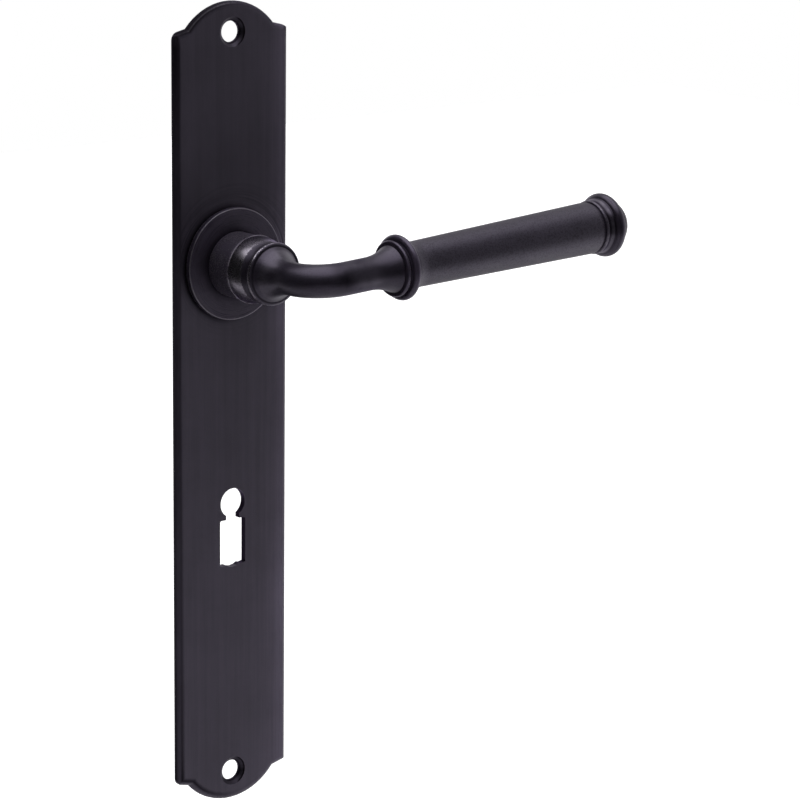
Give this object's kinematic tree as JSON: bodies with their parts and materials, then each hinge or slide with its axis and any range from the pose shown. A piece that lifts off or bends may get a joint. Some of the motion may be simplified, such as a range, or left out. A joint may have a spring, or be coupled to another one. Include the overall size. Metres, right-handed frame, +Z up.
{
  "type": "door lever handle on long backplate",
  "caption": "Black lever handle on a long arched backplate with a keyhole; turned grip with beaded collars, curved neck, round rose and sleeve, sprung hinge.",
  "frame": {"origin": "where the spindle's axis meets the door face, the plane of the backplate's back", "axes": "+Z up along the backplate, +Y into the door along the spindle, +X along the lever towards its end"},
  "size_m": [0.1363, 0.0709, 0.2406],
  "materials": {
    "plate_black": "satin black over fine vertical brushing",
    "rose_black": "satin black, turned rings",
    "lever_black": "satin black, finely speckled cast surface",
    "zinc_steel": "bright zinc plating",
    "spring_steel": "oiled spring wire",
    "nylon": "natural nylon",
    "black_nylon": "black nylon"
  },
  "bodies": {
    "plate": {"backplate": "plate_black", "rose_disc": "rose_black", "locating_dowels": "zinc_steel", "guide_sleeve": "rose_black", "sleeve_nut": "zinc_steel", "front_bush": "nylon", "rear_bush": "nylon", "stop_pins": "zinc_steel", "glide_washer": "black_nylon", "disc_spring": "spring_steel", "return_spring": "spring_steel"},
    "lever": {"lever_neck": "lever_black", "neck_collar": "lever_black", "grip_barrel": "lever_black", "end_collar": "lever_black", "end_button": "lever_black", "tie_stud": "zinc_steel", "lock_washer": "spring_steel", "cam_washer": "zinc_steel", "retaining_ring": "spring_steel", "spindle": "zinc_steel", "grub_screw": "zinc_steel"}
  },
  "joints": [
    {"name": "lever_turn", "type": "hinge", "parent": "plate", "child": "lever", "pos_m": [0, 0, 0], "axis": [0, 1, 0], "range_deg": [0, 45], "stiffness_Nm_per_rad": 0.05, "springref_deg": -148.97, "deforming": ["return_spring"]}
  ]
}
